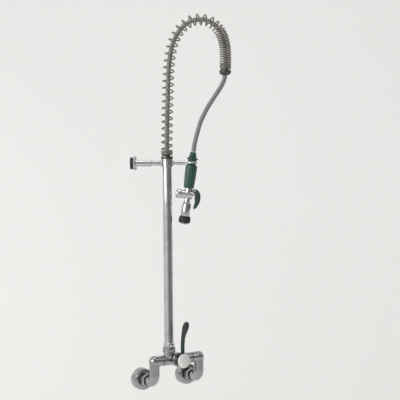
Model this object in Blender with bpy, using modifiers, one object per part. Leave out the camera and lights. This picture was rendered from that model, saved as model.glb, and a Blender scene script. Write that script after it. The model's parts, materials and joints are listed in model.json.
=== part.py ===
"""Pre-rinse faucet: a wall-mounted two-inlet lever mixer with a riser, a sprung hose hoop and a hand spray.

The origin is on the wall, midway between the two inlets at their height. +X is to the right of a person
who faces the wall, +Y goes into the wall, and +Z is up. Lengths are in metres.
"""

import math

import bmesh
import bpy
from mathutils import Matrix, Vector

MM = 0.001
GAP = 0.3 * MM

INLET_SPACING = 150 * MM
WALL_TO_LEGS = 82 * MM
BRIDGE_HEIGHT = 60 * MM
BRIDGE_RADIUS = 15 * MM
BRIDGE_HALF_LENGTH = 48 * MM
CORNER_RADIUS = 16.2 * MM
LEG_BEND = 22 * MM

ROSETTE_RADIUS = 32 * MM
ROSETTE_DEPTH = 26 * MM
NIPPLE_FRONT = 40 * MM
NUT_ACROSS_FLATS = 36 * MM

HOUSING_RADIUS = 21 * MM
CAVITY_RADIUS = 18 * MM
PIVOT_FROM_BRIDGE = 18 * MM
DOME_RADIUS = 17.5 * MM
HUB_RADIUS = 20 * MM
LEVER_HEIGHT = 113 * MM

RISER_X = -25.5 * MM
RISER_RADIUS = 13.7 * MM
RISER_BORE = 11.6 * MM
RISER_FOOT = 78 * MM
RISER_TOP = 640 * MM
BOSS_TOP = 84 * MM
BRACKET_HEIGHT = 629 * MM
COLUMN_TURN = math.radians(-33)

SPRING_RADIUS = 15.2 * MM
SPRING_WIRE = 2.2 * MM
SPRING_PITCH = 19.5 * MM
SPRING_LEG_PITCH = 7 * MM
SPRING_CLOSED_PITCH = 5 * MM
SPRING_CLOSED_LENGTH = 14 * MM
HOSE_RADIUS = 6.5 * MM

SPRAY_LEAN = math.radians(8)
SPRAY_CENTRE = (59 * MM, 537 * MM)
TRIGGER_PIVOT = (19 * MM, 13 * MM)

# The hose's middle line from the riser's top nut, up inside the spring, over the hoop and down to the grip,
# as (distance from the riser's axis, height).
HOOP_ROUTE = [
    (0, 663), (0.5, 700), (2, 760), (4, 815), (6, 868), (9, 911), (14, 948), (22, 977), (35, 1002),
    (52, 1022), (74, 1036), (99, 1040), (122, 1036), (142, 1023), (157.5, 1003), (167, 979),
    (171, 951), (171.5, 922), (170.5, 891),
]
DROP_ROUTE = [
    (168.5, 873), (160.5, 852), (146, 829), (126.5, 800), (110.5, 773), (97.5, 745), (88.5, 716),
    (83.2, 697), (79.4, 680), (76.7, 661),
]

for leftover in list(bpy.data.objects):
    bpy.data.objects.remove(leftover, do_unlink=True)

parts = bpy.data.collections.new("pre_rinse_faucet")
cutters = bpy.data.collections.new("cutters")
bpy.context.scene.collection.children.link(parts)
bpy.context.scene.collection.children.link(cutters)


# Finishes

def finish(name, color, roughness, metallic):
    material = bpy.data.materials.new(name)
    material.use_nodes = True
    shader = material.node_tree.nodes["Principled BSDF"]
    shader.inputs["Base Color"].default_value = (*color, 1)
    shader.inputs["Roughness"].default_value = roughness
    shader.inputs["Metallic"].default_value = metallic
    return material


CHROME = ("chrome", (0.62, 0.62, 0.62), 0.15, 1)
STEEL = ("steel", (0.45, 0.44, 0.42), 0.35, 1)
DARK_STEEL = ("dark_steel", (0.14, 0.14, 0.14), 0.4, 1)
BRASS = ("brass", (0.62, 0.45, 0.2), 0.35, 1)
HOSE_GREY = ("hose_grey", (0.3, 0.3, 0.3), 0.45, 0.3)
GREEN = ("green", (0.03, 0.13, 0.09), 0.4, 0)
BLACK = ("black", (0.03, 0.03, 0.03), 0.6, 0)
WHITE = ("white", (0.9, 0.9, 0.88), 0.3, 0)
CERAMIC = ("ceramic", (0.8, 0.78, 0.72), 0.3, 0)


# Frames that the pieces are placed in

def frame(name, matrix):
    empty = bpy.data.objects.new(name, None)
    empty.matrix_world = matrix
    parts.objects.link(empty)
    return empty


BASE = frame("base_frame", Matrix.Identity(4))
COLUMN = frame(
    "column_frame",
    Matrix.Translation((RISER_X, -WALL_TO_LEGS, 0)) @ Matrix.Rotation(COLUMN_TURN, 4, "Z"),
)
SPRAY = frame(
    "spray_frame",
    COLUMN.matrix_world
    @ Matrix.Translation((SPRAY_CENTRE[0], 0, SPRAY_CENTRE[1]))
    @ Matrix.Rotation(SPRAY_LEAN, 4, "Y"),
)


def place(obj, look, where, at=(0, 0, 0), aim=(0, 0, 1)):
    """Gives a piece its finish and stands its own Z axis along aim at a point of a frame."""
    turn = Vector((0, 0, 1)).rotation_difference(Vector(aim)).to_matrix().to_4x4()
    obj.matrix_world = where.matrix_world @ Matrix.Translation(at) @ turn
    obj.data.materials.clear()
    obj.data.materials.append(finish(obj.name + "_" + look[0], *look[1:]))
    return obj


def shade(mesh):
    mesh.shade_smooth()
    mesh.set_sharp_from_angle(angle=math.radians(35))


def new_object(name, data, collection=parts):
    obj = bpy.data.objects.new(name, data)
    collection.objects.link(obj)
    return obj


# Shapes

def lathe(name, profile, segments=16, ring=True):
    """Turns (radius, height) points in millimetres about Z. The profile runs down its outer side first."""
    points = [(r * MM, 0, z * MM) for r, z in profile]
    edges = [(i, i + 1) for i in range(len(points) - 1)]
    if ring:
        edges.append((len(points) - 1, 0))
    mesh = bpy.data.meshes.new(name)
    mesh.from_pydata(points, edges, [])
    obj = new_object(name, mesh)
    screw = obj.modifiers.new("turn", "SCREW")
    screw.steps = screw.render_steps = segments
    screw.use_merge_vertices = True
    screw.merge_threshold = 0.00005
    return obj


def rod(name, radius, low, high, segments=16):
    """A solid round bar in millimetres along Z."""
    return lathe(name, [(0, high), (radius, high), (radius, low), (0, low)], segments, ring=False)


def tube(name, outer, inner, low, high, segments=16):
    return lathe(name, [(outer, high), (outer, low), (inner, low), (inner, high)], segments)


def ball(name, radius, segments=16):
    rows = segments // 2
    arc = [(i * math.pi / rows) for i in range(rows + 1)]
    return lathe(name, [(radius * math.sin(a), radius * math.cos(a)) for a in arc], segments, ring=False)


def outline(name, loops, thickness):
    """A flat plate in its own XY plane, with holes where a loop lies inside another, in millimetres."""
    curve = bpy.data.curves.new(name, "CURVE")
    curve.dimensions = "2D"
    curve.fill_mode = "BOTH"
    curve.extrude = thickness * MM / 2
    for loop in loops:
        spline = curve.splines.new("POLY")
        spline.points.add(len(loop) - 1)
        for point, (x, y) in zip(spline.points, loop):
            point.co = (x * MM, y * MM, 0, 1)
        spline.use_cyclic_u = True
    return as_mesh(new_object(name, curve))


def circle(radius, count, x=0, y=0):
    turns = [math.tau * (i + 0.5) / count for i in range(count)]
    return [(x + radius * math.cos(t), y + radius * math.sin(t)) for t in turns]


def hexagon(across_flats):
    return circle(across_flats / math.sqrt(3), 6)


def wire(name, points, radius, sides_level):
    curve = bpy.data.curves.new(name, "CURVE")
    curve.dimensions = "3D"
    curve.bevel_depth = radius
    curve.bevel_resolution = sides_level
    curve.use_fill_caps = True
    spline = curve.splines.new("POLY")
    spline.points.add(len(points) - 1)
    for point, co in zip(spline.points, points):
        point.co = (*co, 1)
    return new_object(name, curve)


def as_mesh(obj):
    """Replaces a curve object by a mesh object of the same name, with its loose caps welded on."""
    name = obj.name
    mesh = bpy.data.meshes.new_from_object(obj.evaluated_get(bpy.context.evaluated_depsgraph_get()))
    bm = bmesh.new()
    bm.from_mesh(mesh)
    bmesh.ops.remove_doubles(bm, verts=bm.verts, dist=0.00001)
    bmesh.ops.recalc_face_normals(bm, faces=bm.faces)
    bm.to_mesh(mesh)
    bm.free()
    matrix = obj.matrix_world.copy()
    bpy.data.objects.remove(obj, do_unlink=True)
    solid = new_object(name, mesh)
    solid.name = name
    solid.matrix_world = matrix
    return solid


def boolean(obj, tool, operation, at, aim, where, solver="EXACT"):
    """Joins a tool to a piece or cuts it away. The tool's place is in millimetres in the frame."""
    parts.objects.unlink(tool)
    cutters.objects.link(tool)
    turn = Vector((0, 0, 1)).rotation_difference(Vector(aim)).to_matrix().to_4x4()
    tool.matrix_world = where.matrix_world @ Matrix.Translation([v * MM for v in at]) @ turn
    tool.hide_render = True
    tool.display_type = "WIRE"
    modifier = obj.modifiers.new(tool.name, "BOOLEAN")
    modifier.operation = operation
    modifier.solver = solver
    modifier.object = tool


X, Y, Z = (1, 0, 0), (0, 1, 0), (0, 0, 1)
FRONT = (0, -1, 0)


# Wall inlets

def inlet(side, sign):
    at = (sign * INLET_SPACING / 2, 0, 0)
    depth = ROSETTE_DEPTH / MM
    front = NIPPLE_FRONT / MM
    radius = ROSETTE_RADIUS / MM

    rosette = lathe(f"wall_rosette_{side}", [
        (14.2, depth), (radius - 5, depth), (radius - 2.2, depth - 1.6), (radius - 1, depth - 4.5),
        (radius, 0.3), (radius - 1.6, 0.3), (radius - 2.8, depth - 5), (radius - 6, depth - 1.6),
        (14.2, depth - 1.6),
    ], 24)
    place(rosette, CHROME, BASE, at, FRONT)

    nipple = lathe(f"wall_nipple_{side}", [
        (13, front), (13, 20), (10.3, 19), (10.3, -14), (7, -14), (7, front),
    ])
    place(nipple, BRASS, BASE, at, FRONT)

    strainer = lathe(f"inlet_strainer_{side}", [
        (0, 28), (5.6, 28), (5.6, front - 0.6), (6.6, front - 0.6), (6.6, 27), (0, 27),
    ], 16, ring=False)
    place(strainer, STEEL, BASE, at, FRONT)

    washer = tube(f"inlet_washer_{side}", 12.6, 8, front + 0.3, front + 2, 20)
    place(washer, BLACK, BASE, at, FRONT)

    nut = outline(f"inlet_nut_{side}", [hexagon(NUT_ACROSS_FLATS / MM)], 20)
    place(nut, CHROME, BASE, (at[0], -40 * MM, 0), FRONT)
    bore = lathe(f"inlet_nut_bore_{side}", [
        (0, 51), (10.9, 51), (10.9, 45.4), (13.4, 45.4), (13.4, 29), (0, 29),
    ], 20, ring=False)
    boolean(nut, bore, "DIFFERENCE", (at[0] / MM, 0, 0), FRONT, BASE)

    elbow(side, sign)


def elbow(side, sign):
    """The leg: from the bridge's end round a ball corner, down, and round a bend to the wall union."""
    leg_x = sign * INLET_SPACING / 2 / MM
    leg_y = -WALL_TO_LEGS / MM
    top = BRIDGE_HEIGHT / MM
    bend = LEG_BEND / MM
    bend_steps = 6
    route = [(leg_x, leg_y, top), (leg_x, leg_y, top - 15)]
    for i in range(bend_steps + 1):
        turn = math.pi / 2 * i / bend_steps
        route.append((leg_x, leg_y + bend - bend * math.cos(turn), bend - bend * math.sin(turn)))
    route.append((leg_x, -54, 0))
    leg = as_mesh(wire(f"inlet_elbow_{side}", [[v * MM for v in p] for p in route], 14.6 * MM, 5))
    place(leg, CHROME, BASE)

    corner = ball(f"elbow_corner_{side}", CORNER_RADIUS / MM)
    boolean(leg, corner, "UNION", (leg_x, leg_y, top), Z, BASE)
    arm = rod(f"elbow_arm_{side}", BRIDGE_RADIUS / MM, 0, INLET_SPACING / 2 / MM - BRIDGE_HALF_LENGTH / MM - 2)
    boolean(leg, arm, "UNION", (leg_x, leg_y, top), (-sign, 0, 0), BASE)
    tail = lathe(f"elbow_tail_{side}", [(0, 18), (10.5, 18), (10.5, 3), (12.6, 3), (12.6, 0), (0, 0)], 20, False)
    boolean(leg, tail, "UNION", (leg_x, -42.3, 0), FRONT, BASE)

    for label, at, aim, radius, low, high in (
        ("x", (leg_x, leg_y, top), (-sign, 0, 0), 9, -4, 30),
        ("z", (leg_x, leg_y, top), (0, 0, -1), 8, -4, 55),
        ("y", (leg_x, leg_y, 0), Y, 7.6, 4, 45),
    ):
        drill = rod(f"elbow_drill_{label}_{side}", radius, low, high, 12)
        boolean(leg, drill, "DIFFERENCE", at, aim, BASE)

    seal = tube(f"elbow_seal_{side}", 14.2, 9.6, 0.3, 1.7, 20)
    place(seal, BLACK, BASE, (sign * BRIDGE_HALF_LENGTH, -WALL_TO_LEGS, BRIDGE_HEIGHT), (sign, 0, 0))


# The mixer's casting and its cartridge. Depths along the cartridge are counted forwards from its pivot.

PIVOT = (0, -(WALL_TO_LEGS + PIVOT_FROM_BRIDGE), BRIDGE_HEIGHT)


def mixer_body():
    top = BRIDGE_HEIGHT / MM
    leg_y = -WALL_TO_LEGS / MM
    half = BRIDGE_HALF_LENGTH / MM
    housing_front = PIVOT_FROM_BRIDGE / MM - 1
    body = rod("mixer_body", BRIDGE_RADIUS / MM, -half, half)
    place(body, CHROME, BASE, (0, -WALL_TO_LEGS, BRIDGE_HEIGHT), X)
    housing = lathe("housing_outer", [
        (0, housing_front), (HOUSING_RADIUS / MM, housing_front), (HOUSING_RADIUS / MM, -12), (17, -16), (0, -16),
    ], 24, ring=False)
    boolean(body, housing, "UNION", (0, leg_y, top), FRONT, BASE)
    boss = lathe("riser_boss", [
        (0, BOSS_TOP / MM), (16.3, BOSS_TOP / MM), (16.7, 72), (11, 53), (0, 53),
    ], 20, ring=False)
    boolean(body, boss, "UNION", (RISER_X / MM, leg_y, 0), Z, BASE)

    cavity = rod("cartridge_cavity", CAVITY_RADIUS / MM, -11, housing_front + 1, 24)
    boolean(body, cavity, "DIFFERENCE", (0, leg_y, top), FRONT, BASE)
    for label, sign in (("left", -1), ("right", 1)):
        supply = rod(f"bridge_drill_{label}", 9, 14, half + 2, 12)
        boolean(body, supply, "DIFFERENCE", (0, leg_y, top), (sign, 0, 0), BASE)
    socket = rod("riser_socket", 14.1, 76, 86)
    boolean(body, socket, "DIFFERENCE", (RISER_X / MM, leg_y, 0), Z, BASE)
    outlet = rod("riser_port", 4.5, 65, 77, 14)
    boolean(body, outlet, "DIFFERENCE", (RISER_X / MM, leg_y, 0), Z, BASE, "MANIFOLD")


def cartridge():
    def along(obj, look):
        return place(obj, look, BASE, PIVOT, FRONT)

    along(tube("cartridge_seal", 16, 8, -28.7, -27.3, 20), BLACK)
    along(lathe("cartridge_shell", [
        (17.6, -9.6), (17.6, -27), (8.5, -27), (8.5, -25.5), (14.6, -25.5), (14.6, -9.6),
    ]), BLACK)
    along(tube("ceramic_disc_fixed", 14.2, 5, -25.2, -21.6, 20), CERAMIC)
    along(tube("ceramic_disc_moving", 13.4, 4.5, -21.3, -17.7, 20), CERAMIC)
    along(tube("cartridge_rotor", 14.2, 11.6, -17.4, 3), BLACK)
    along(tube("cartridge_nut", 17.6, 14.8, -9.3, -1.4), BRASS)
    dome = []
    for i in range(5):
        turn = math.radians(2 + 41 * i / 4)
        dome.append((DOME_RADIUS / MM * math.cos(turn), DOME_RADIUS / MM * math.sin(turn)))
    inner = [(r * 15.7 / 17.5, z * 15.7 / 17.5) for r, z in dome]
    flange = [(20.6, 0.6), (20.6, -0.7), (15.7, -0.7)]
    along(lathe("cartridge_dome", dome[::-1] + flange + inner, 24), CHROME)

    stem = along(rod("cartridge_stem", 4, -14, 18, 16), STEEL)
    pin = rod("stem_trunnions", 2, -11, 11, 12)
    origin = [v / MM for v in PIVOT]
    boolean(stem, pin, "UNION", origin, X, BASE)
    thread = rod("stem_thread", 2.3, 10, 19, 12)
    boolean(stem, thread, "DIFFERENCE", origin, FRONT, BASE)


def lever():
    """The hub over the dome, and the arm that rises from it, leans towards the user and ends in a club."""
    top = PIVOT[2] / MM
    pivot_y = PIVOT[1] / MM
    hub_hollow = [(18.1 * math.sin(a), 18.1 * math.cos(a)) for a in
                  [math.radians(60.2 - 52 * i / 4) for i in range(5)]]
    lever_hub = lathe("mixer_lever", [
        (4.7, 22), (HUB_RADIUS / MM - 1, 22), (HUB_RADIUS / MM, 21), (HUB_RADIUS / MM, 10), (19, 9),
    ] + hub_hollow[:-1] + [(4.3, 17.4), (4.3, 18.3), (2.4, 18.3), (2.4, 19.6), (4.7, 19.6)], 24)
    place(lever_hub, GREEN, BASE, PIVOT, FRONT)
    arm_y = pivot_y - 15.5
    height = LEVER_HEIGHT / MM
    # (height over the hub's axis, lean towards the user, radius)
    stations = [
        (17, 0, 6.2), (26, 0, 5.6), (40, 0.3, 5.6), (54, 1.2, 5.8), (66, 3.5, 6), (76, 7, 6.8),
        (86, 11.5, 8.4), (96, 16.5, 9.4), (104, 20.5, 9), (height - 3, 23.5, 7), (height, 25, 4),
    ]
    curve_points = [(0, (arm_y - lean) * MM, (top + rise) * MM) for rise, lean, _ in stations]
    arm = wire("lever_arm", curve_points, MM, 4)
    for point, (_, _, radius) in zip(arm.data.splines[0].points, stations):
        point.radius = radius
    arm = as_mesh(arm)
    boolean(lever_hub, arm, "UNION", (0, 0, 0), Z, BASE)

    screw = lathe("lever_screw", [(0, 21.8), (4.4, 21.8), (4.4, 19.9), (2, 19.9), (2, 11), (0, 11)], 14, False)
    place(screw, STEEL, BASE, PIVOT, FRONT)
    cap = lathe("index_cap", [
        (0, 28), (9, 27.7), (15, 26.8), (19, 25), (20.4, 23), (20.4, 22.3), (0, 22.3),
    ], 32, ring=False)
    place(cap, WHITE, BASE, PIVOT, FRONT)


# The riser and what is clamped to it

def riser():
    place(tube("riser_seal", 13.6, 9.5, 76.3, 77.7, 20), BLACK, COLUMN)
    nut = outline("riser_nut", [hexagon(36), circle(14.1, 24)], 13)
    place(nut, CHROME, COLUMN, (0, 0, BOSS_TOP + 6.8 * MM))
    pipe = lathe("riser_pipe", [
        (RISER_RADIUS / MM, RISER_TOP / MM), (RISER_RADIUS / MM, 110), (16.6, 108.5), (16.6, 98.5),
        (RISER_RADIUS / MM, 97.8), (RISER_RADIUS / MM, RISER_FOOT / MM), (RISER_BORE / MM, RISER_FOOT / MM),
        (RISER_BORE / MM, RISER_TOP / MM),
    ])
    place(pipe, CHROME, COLUMN)
    cap = lathe("riser_cap", [
        (5, 648), (16.6, 648), (17.4, 647.2), (17.4, 641.3), (16.4, 640.3), (11, 640.3), (11, 630), (5, 630),
    ])
    place(cap, CHROME, COLUMN)


def bracket():
    height = BRACKET_HEIGHT / MM
    collar = lathe("bracket_collar", [(17, 640), (17, 618), (14.1, 618), (14.1, 640)])
    place(collar, CHROME, COLUMN)
    for label, sign, radius, reach in (("wall", -1, 9.5, 19), ("hook", 1, 7.5, 19)):
        boss = rod(f"collar_boss_{label}", radius, 15, reach, 20)
        boolean(collar, boss, "UNION", (0, 0, height), (sign, 0, 0), COLUMN)
    hole = rod("collar_screw_hole", 2.7, 12, 22, 12)
    boolean(collar, hole, "DIFFERENCE", (0, 0, height), FRONT, COLUMN)
    screw = lathe("collar_screw", [(0, 20), (4, 20), (4, 17.3), (2.4, 17.3), (2.4, 14.1), (0, 14.1)], 12, False)
    place(screw, STEEL, COLUMN, (0, 0, BRACKET_HEIGHT), FRONT)

    rod_piece = rod("bracket_rod", 7.4, 19.3, 63.4, 20)
    place(rod_piece, CHROME, COLUMN, (0, 0, BRACKET_HEIGHT), (-1, 0, 0))
    flange = lathe("bracket_flange", [
        (0, 97), (17.5, 97), (21, 96), (21, 92.5), (19.8, 91), (10.6, 91), (9.6, 90), (9.6, 44.5), (7.8, 44.5),
        (7.8, 88), (0, 88),
    ], 28, ring=False)
    place(flange, CHROME, COLUMN, (0, 0, BRACKET_HEIGHT), (-1, 0, 0))
    pad = tube("bracket_pad", 17, 3, 97.3, 106, 28)
    place(pad, BLACK, COLUMN, (0, 0, BRACKET_HEIGHT), (-1, 0, 0))
    for label, sign in (("upper", 1), ("lower", -1)):
        for node, piece in (("flange", flange), ("pad", pad)):
            drill = rod(f"{node}_screw_hole_{label}", 2.4, 80, 110, 12)
            boolean(piece, drill, "DIFFERENCE", (0, 0, height + sign * 14.9), (-1, 0, 0), COLUMN)
        wall_screw = lathe(f"bracket_screw_{label}", [
            (0, 105.7), (1.4, 105.7), (2, 105), (2, 90.7), (3.8, 90.7), (3.8, 88.5), (2.6, 87.5), (0, 87.5),
        ], 12, ring=False)
        place(wall_screw, STEEL, COLUMN, (0, 0, BRACKET_HEIGHT + sign * 14.9 * MM), (-1, 0, 0))
    lock_hole = rod("lock_hole", 2.5, 4, 14, 12)
    boolean(flange, lock_hole, "DIFFERENCE", (-50, 0, height), FRONT, COLUMN)
    lock = lathe("bracket_lock_screw", [(0, 13), (3.6, 13), (3.6, 10), (2.2, 10), (2.2, 7.8), (0, 7.8)], 12, False)
    place(lock, STEEL, COLUMN, (-50 * MM, 0, BRACKET_HEIGHT), FRONT)


def hook():
    """A rod from the collar that ends in a fork, which is open at its far side, around the grip's groove."""
    height = BRACKET_HEIGHT / MM
    centre = (SPRAY_CENTRE[0] + (BRACKET_HEIGHT - SPRAY_CENTRE[1]) * math.tan(SPRAY_LEAN)) / MM
    inner, outer, tip = 13.8, 20, centre + 12
    back = [math.radians(90 + 180 * i / 12) for i in range(13)]
    loop = [(tip, outer)]
    loop += [(centre + outer * math.cos(t), outer * math.sin(t)) for t in back]
    loop += [(tip, -outer), (tip + 2, -outer + 2), (tip + 2, -inner - 1), (tip, -inner)]
    loop += [(centre + inner * math.cos(t), inner * math.sin(t)) for t in reversed(back)]
    loop += [(tip, inner), (tip + 2, inner + 1), (tip + 2, outer - 2)]
    fork = outline("spray_hook", [loop], 5)
    place(fork, CHROME, COLUMN, (0, 0, BRACKET_HEIGHT))
    stalk = rod("hook_stalk", 6, 19.3, centre - outer + 1.2, 20)
    boolean(fork, stalk, "UNION", (0, 0, height), X, COLUMN)


# The hose and its spring

def smooth(route, spacing):
    """Points every spacing along a smooth curve through the route, as (distance, height) in metres."""
    knots = [Vector((u, z)) * MM for u, z in route]
    knots = [2 * knots[0] - knots[1]] + knots + [2 * knots[-1] - knots[-2]]
    fine = []
    for i in range(1, len(knots) - 2):
        a, b, c, d = knots[i - 1:i + 3]
        for k in range(20):
            t = k / 20
            fine.append(0.5 * (2 * b + (c - a) * t + (2 * a - 5 * b + 4 * c - d) * t * t
                               + (3 * b - a - 3 * c + d) * t ** 3))
    fine.append(knots[-2])
    lengths = [0]
    for p, q in zip(fine, fine[1:]):
        lengths.append(lengths[-1] + (q - p).length)
    count = max(2, round(lengths[-1] / spacing)) + 1
    points, j = [], 0
    for i in range(count):
        want = lengths[-1] * i / (count - 1)
        while j < len(fine) - 2 and lengths[j + 1] < want:
            j += 1
        share = (want - lengths[j]) / (lengths[j + 1] - lengths[j])
        points.append(fine[j].lerp(fine[j + 1], share))
    return points


def hose():
    points = [(p.x, 0, p.y) for p in smooth(HOOP_ROUTE + DROP_ROUTE, 14 * MM)]
    place(wire("hose", points, HOSE_RADIUS, 2), HOSE_GREY, COLUMN)
    nut = outline("hose_lower_nut", [hexagon(18)], 14)
    place(nut, DARK_STEEL, COLUMN, (0, 0, 655.4 * MM))


def support_spring():
    """An open coil round the hose, with closed turns at both ends."""
    step = 1 * MM
    line = smooth([(0, 651.5)] + HOOP_ROUTE[1:-1] + [(170.7, 898)], step)
    total = step * (len(line) - 1)
    phase, coil, due = 0, [], 0
    points_per_turn = 8
    for i, p in enumerate(line):
        before, after = line[max(i - 1, 0)], line[min(i + 1, len(line) - 1)]
        along = (after - before).normalized()
        out = Vector((-along.y, along.x))
        if phase >= due:
            side = SPRING_RADIUS * math.cos(phase)
            coil.append((p.x + out.x * side, SPRING_RADIUS * math.sin(phase), p.y + out.y * side))
            due += math.tau / points_per_turn
        left = total - i * step
        pitch = SPRING_LEG_PITCH + (SPRING_PITCH - SPRING_LEG_PITCH) * min(max(left / MM - 105, 0) / 50, 1)
        if min(i * step, left) < SPRING_CLOSED_LENGTH:
            pitch = SPRING_CLOSED_PITCH
        phase += math.tau * step / pitch
    place(wire("support_spring", coil, SPRING_WIRE, 1), STEEL, COLUMN)
    ring = lathe("spring_end_ring", [
        (14, 894), (17, 893), (17, 888), (14, 882), (9.5, 880), (7.4, 880), (7.4, 894),
    ])
    place(ring, DARK_STEEL, COLUMN, (170.2 * MM, 0, 0))


# The hand spray, in its own leaning frame: Z runs up the grip, X points to the trigger

def grip():
    place(lathe("grip_tube", [(7, 112), (7, 12.8), (5, 12.8), (5, 112)], 18), STEEL, SPRAY)
    sleeve = lathe("grip_sleeve", [
        (10, 108), (14.5, 107), (16, 104.5), (16, 102), (12.4, 101.2), (12.4, 86), (16.6, 84.5), (17.2, 78),
        (17, 62), (16.4, 44), (15.6, 28), (14.6, 21), (12.5, 19), (7.4, 19), (7.4, 108),
    ])
    place(sleeve, GREEN, SPRAY)
    place(tube("coupling_washer", 6.8, 4, 112.3, 113.7, 16), BLACK, SPRAY)
    coupling = lathe("hose_coupling", [
        (7, 124), (8, 123), (11.4, 109.4), (11, 108.3), (7.3, 108.3), (7.3, 114), (4, 114), (4, 124),
    ], 20)
    place(coupling, GREEN, SPRAY)


def spray_valve():
    origin = (0, 0, 0)
    body = rod("spray_body", 12, -18, 14, 20)
    place(body, CHROME, SPRAY, origin, X)
    boolean(body, rod("body_neck", 11, 0, 18.5, 18), "UNION", origin, Z, SPRAY)
    boolean(body, rod("body_outlet", 8, 0, 22, 20), "UNION", origin, (0, 0, -1), SPRAY)
    lug = outline("trigger_lug", [[(8, 6), (22, 6), (23.5, 9), (23.5, 14), (21, 17.5), (8, 17.5)]], 7)
    boolean(body, lug, "UNION", origin, FRONT, SPRAY)
    boolean(body, rod("body_chamber", 9, -19, 4, 20), "DIFFERENCE", origin, X, SPRAY)
    boolean(body, rod("body_inlet", 7.4, 12.5, 20, 18), "DIFFERENCE", origin, Z, SPRAY)
    boolean(body, rod("body_inlet_port", 4.5, 4, 14, 14), "DIFFERENCE", origin, Z, SPRAY)
    boolean(body, rod("body_outlet_port", 5, 4, 23, 14), "DIFFERENCE", origin, (0, 0, -1), SPRAY)
    boolean(body, rod("stem_guide", 2.7, 2, 15, 12), "DIFFERENCE", origin, X, SPRAY)
    boolean(body, rod("pin_hole", 2, -6, 6, 12), "DIFFERENCE", (19, 0, 13), Y, SPRAY)

    bonnet = lathe("spray_bonnet", [
        (0, 35), (9, 34.6), (12, 33), (13, 30), (13, 19), (8.6, 19), (8.6, 29), (0, 29),
    ], 24, ring=False)
    place(bonnet, CHROME, SPRAY, origin, (-1, 0, 0))
    place(tube("bonnet_seal", 8.2, 6.6, 16, 18.6, 18), BLACK, SPRAY, origin, (-1, 0, 0))
    stem = lathe("valve_stem", [
        (0, 18.6), (2.4, 18.6), (2.4, -0.5), (6, -0.5), (6, -3), (2.4, -3), (2.4, -22), (0, -22),
    ], 14, ring=False)
    place(stem, BRASS, SPRAY, origin, X)
    place(tube("valve_washer", 5.6, 2.7, 0, 2.2, 16), BLACK, SPRAY, origin, X)

    turns, points_per_turn = 5, 8
    count = turns * points_per_turn
    coil = []
    for i in range(count + 1):
        turn = math.tau * i / points_per_turn
        x = (-4.4 - 23.4 * i / count) * MM
        coil.append((x, 4.6 * MM * math.cos(turn), 4.6 * MM * math.sin(turn)))
    place(wire("valve_spring", coil, 0.6 * MM, 1), STEEL, SPRAY)


def trigger():
    """A broad paddle, hung on a pin under the grip. A slot in its top takes the body's lug."""
    pivot = (TRIGGER_PIVOT[0], 0, TRIGGER_PIVOT[1])
    side = [
        (14.5, 14), (16, 18), (24, 18.5), (31, 13), (35.5, 5), (37.5, -4), (37, -16), (33, -28), (27, -37),
        (22.5, -39), (20.5, -36), (21, -28), (22, -18), (20.5, -8), (19.6, 2), (15.5, 8),
    ]
    paddle = outline("trigger", [[(x - pivot[0] / MM, z - pivot[2] / MM) for x, z in side]], 18)
    place(paddle, GREEN, SPRAY, pivot, FRONT)
    slot = outline("trigger_slot", [[(10, 2), (25.5, 2), (25.5, 20), (10, 20)]], 8.4)
    boolean(paddle, slot, "DIFFERENCE", (0, 0, 0), FRONT, SPRAY)
    hole = rod("trigger_pin_hole", 2, -12, 12, 12)
    boolean(paddle, hole, "DIFFERENCE", [v / MM for v in pivot], Y, SPRAY)
    pin = lathe("trigger_pin", [
        (0, 10.4), (3, 10.4), (3, 9.3), (1.7, 9.3), (1.7, -9.3), (3, -9.3), (3, -10.4), (0, -10.4),
    ], 12, ring=False)
    place(pin, STEEL, SPRAY, pivot, Y)


def nozzle():
    down = (0, 0, -1)
    place(lathe("spray_nozzle", [
        (13, 62), (13, 30), (11.5, 24.5), (9.5, 22.3), (5, 22.3), (5, 26), (11, 31), (11, 62),
    ]), CHROME, SPRAY, (0, 0, 0), down)
    place(tube("nozzle_seal", 10.6, 6, 59.6, 61.4, 18), BLACK, SPRAY, (0, 0, 0), down)
    place(lathe("spray_ring", [
        (14, 82), (16.6, 79.5), (17, 74), (16.6, 66), (14.5, 62.3), (9.5, 62.3), (9.5, 82),
    ]), BLACK, SPRAY, (0, 0, 0), down)
    holes = [circle(1, 6, 5.6 * math.cos(t), 5.6 * math.sin(t)) for t in [math.tau * i / 8 for i in range(8)]]
    plate = outline("spray_plate", [circle(9.1, 24)] + holes, 2.4)
    place(plate, STEEL, SPRAY, (0, 0, -84.4 * MM))


inlet("left", -1)
inlet("right", 1)
mixer_body()
cartridge()
lever()
riser()
bracket()
hook()
hose()
support_spring()
grip()
spray_valve()
trigger()
nozzle()

for obj in parts.objects:
    if obj.type == "MESH":
        shade(obj.data)
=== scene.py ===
import json
import math

import bmesh
import bpy
from mathutils import Matrix, Vector


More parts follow.
